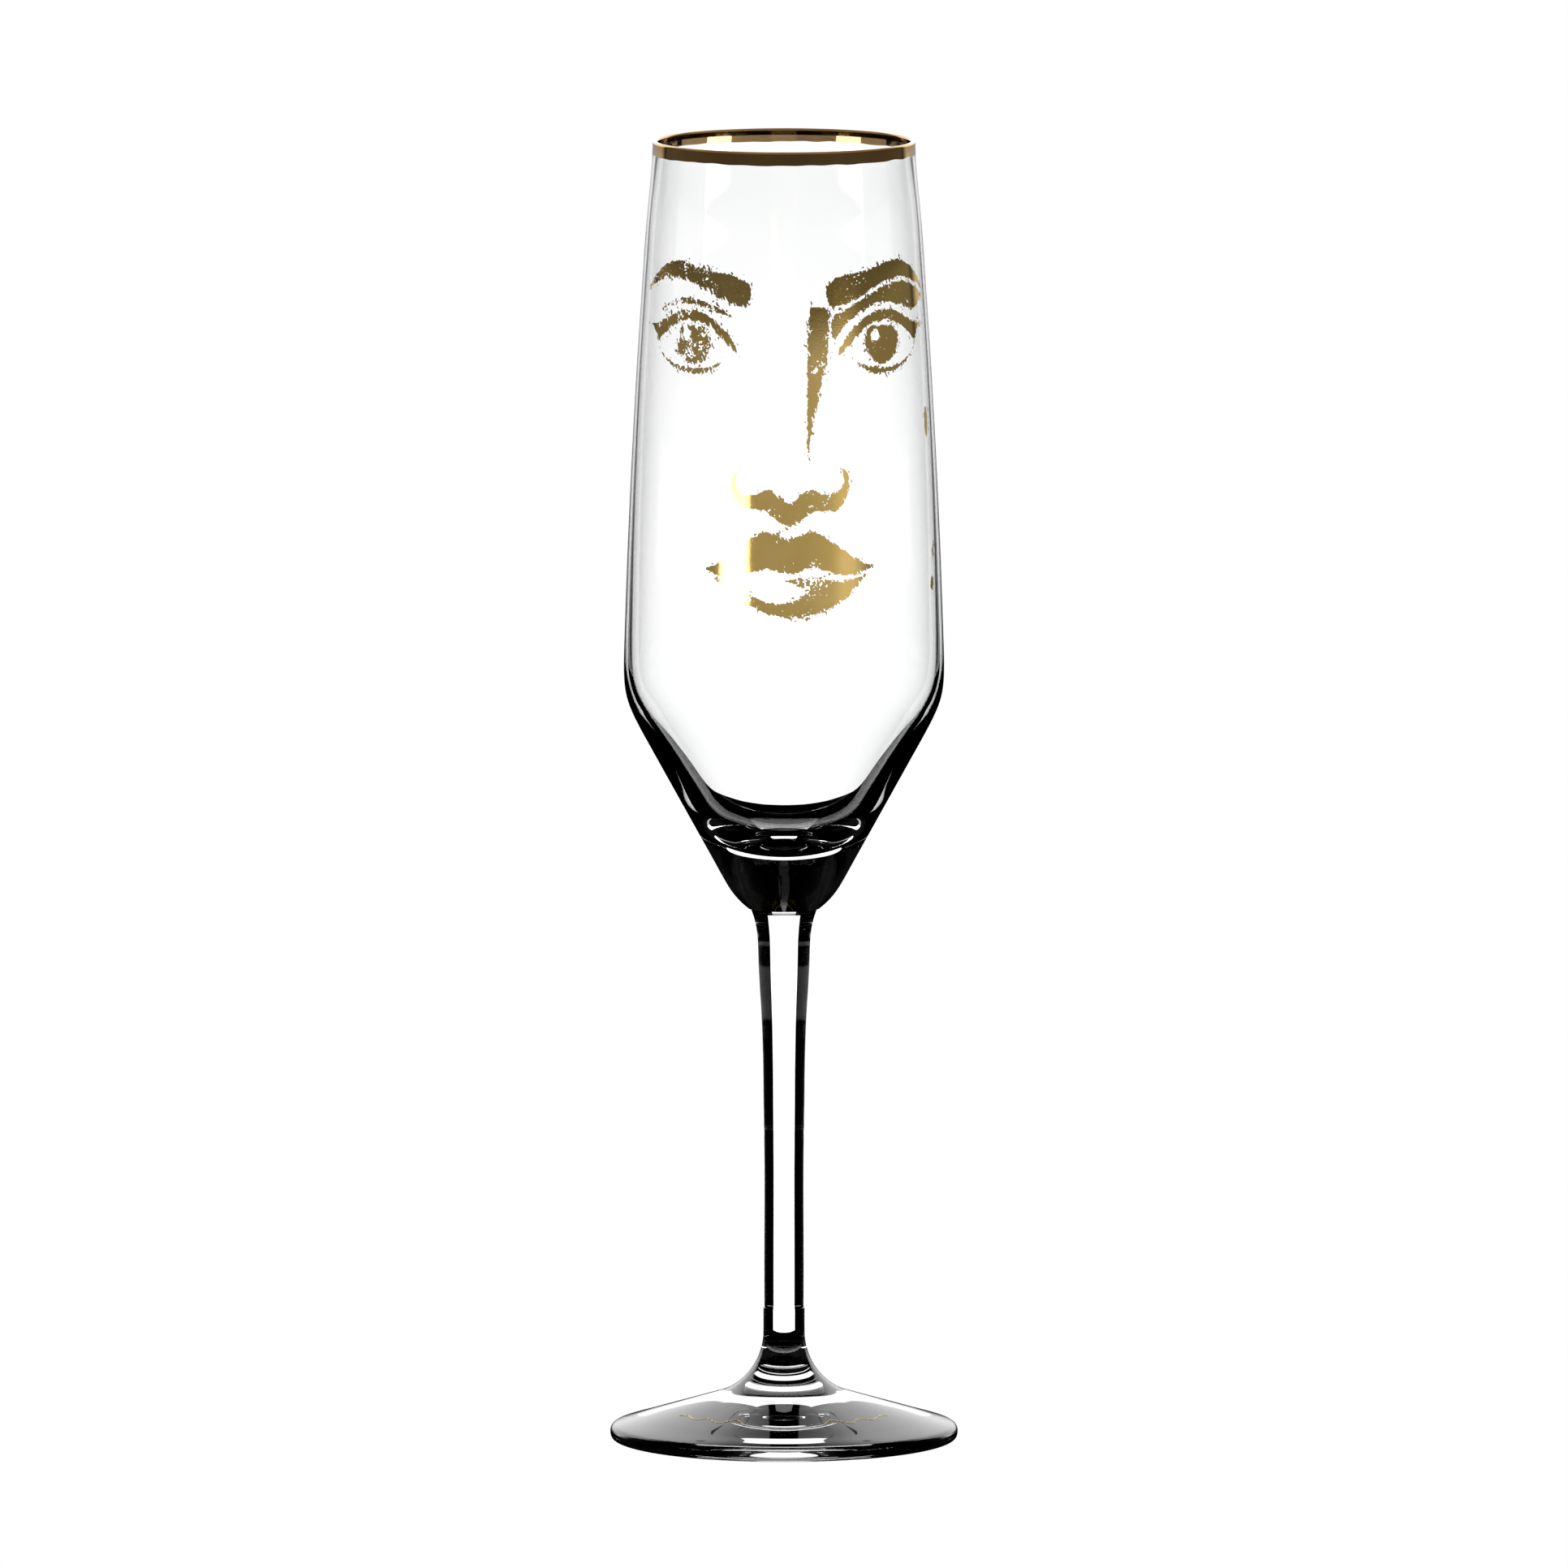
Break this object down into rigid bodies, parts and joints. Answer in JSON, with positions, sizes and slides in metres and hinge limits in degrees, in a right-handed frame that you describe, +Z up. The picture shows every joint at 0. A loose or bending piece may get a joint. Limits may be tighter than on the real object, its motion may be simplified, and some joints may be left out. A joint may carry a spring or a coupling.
{
  "type": "champagne flute",
  "caption": "Tall stemmed flute for sparkling wine: straight-sided bowl on a conical base, drawn stem and low round foot, with a gold lip band and a stencilled gold face on the bowl.",
  "frame": {"origin": "centre of the foot, on the plane that the flute stands on", "axes": "+Z up the stem, out of the bowl's mouth; the printed face looks along -Y"},
  "size_m": [0.064, 0.064, 0.2401],
  "materials": {
    "clear_glass": "clear, polished",
    "gold_band": "fired gold, bright",
    "gold_print": "fired gold through a fine screen, satin"
  },
  "bodies": {
    "root": {"bowl": "clear_glass", "stem": "clear_glass", "foot": "clear_glass", "rim_band": "gold_band", "print_left_brow": "gold_print", "print_right_brow": "gold_print", "print_left_crease": "gold_print", "print_right_socket": "gold_print", "print_left_eye": "gold_print", "print_right_eye": "gold_print", "print_left_iris": "gold_print", "print_right_iris": "gold_print", "print_nose_side": "gold_print", "print_nose_base": "gold_print", "print_upper_lip": "gold_print", "print_lower_lip": "gold_print", "print_cheek_flecks": "gold_print", "foot_scroll": "gold_print"}
  },
  "joints": []
}
